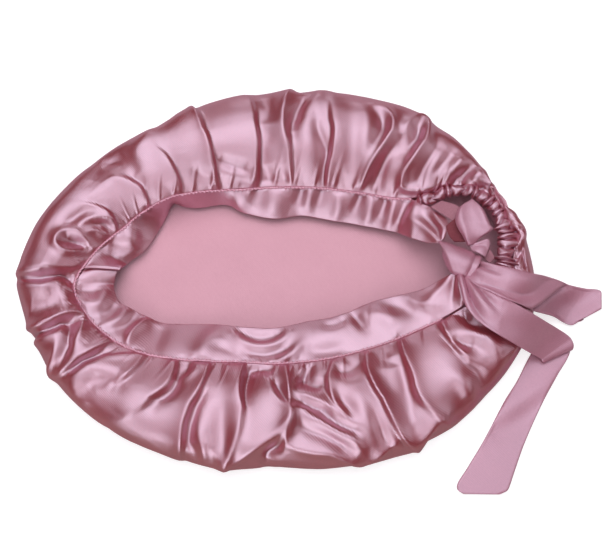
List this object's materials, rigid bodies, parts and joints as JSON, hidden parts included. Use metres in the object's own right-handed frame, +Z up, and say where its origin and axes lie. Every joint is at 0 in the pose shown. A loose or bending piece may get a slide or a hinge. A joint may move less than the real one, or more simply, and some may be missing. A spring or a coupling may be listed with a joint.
{
  "type": "sleep bonnet",
  "caption": "Gathered satin sleep bonnet lying open on its crown, with a flat headband, a ruched elastic nape and tied band ends with long tails.",
  "frame": {"origin": "on the table, under the middle of the crown, on the flat part it rests on", "axes": "+X along the long side of the opening, towards the knot; +Y towards the far side; +Z up, out of the opening"},
  "size_m": [0.3574, 0.2595, 0.0356],
  "materials": {
    "crown_satin": "glossy satin outside, matt back inside",
    "band_satin": "glossy satin",
    "casing_satin": "ruched glossy satin",
    "tie_satin": "soft satin with a fine twill"
  },
  "bodies": {
    "root": {"crown": "crown_satin", "headband": "band_satin", "elastic_casing": "casing_satin", "tie_knot": "tie_satin", "tie_tail_right": "tie_satin", "tie_tail_front": "tie_satin", "tie_loop": "tie_satin", "tie_stub": "tie_satin"}
  },
  "joints": []
}
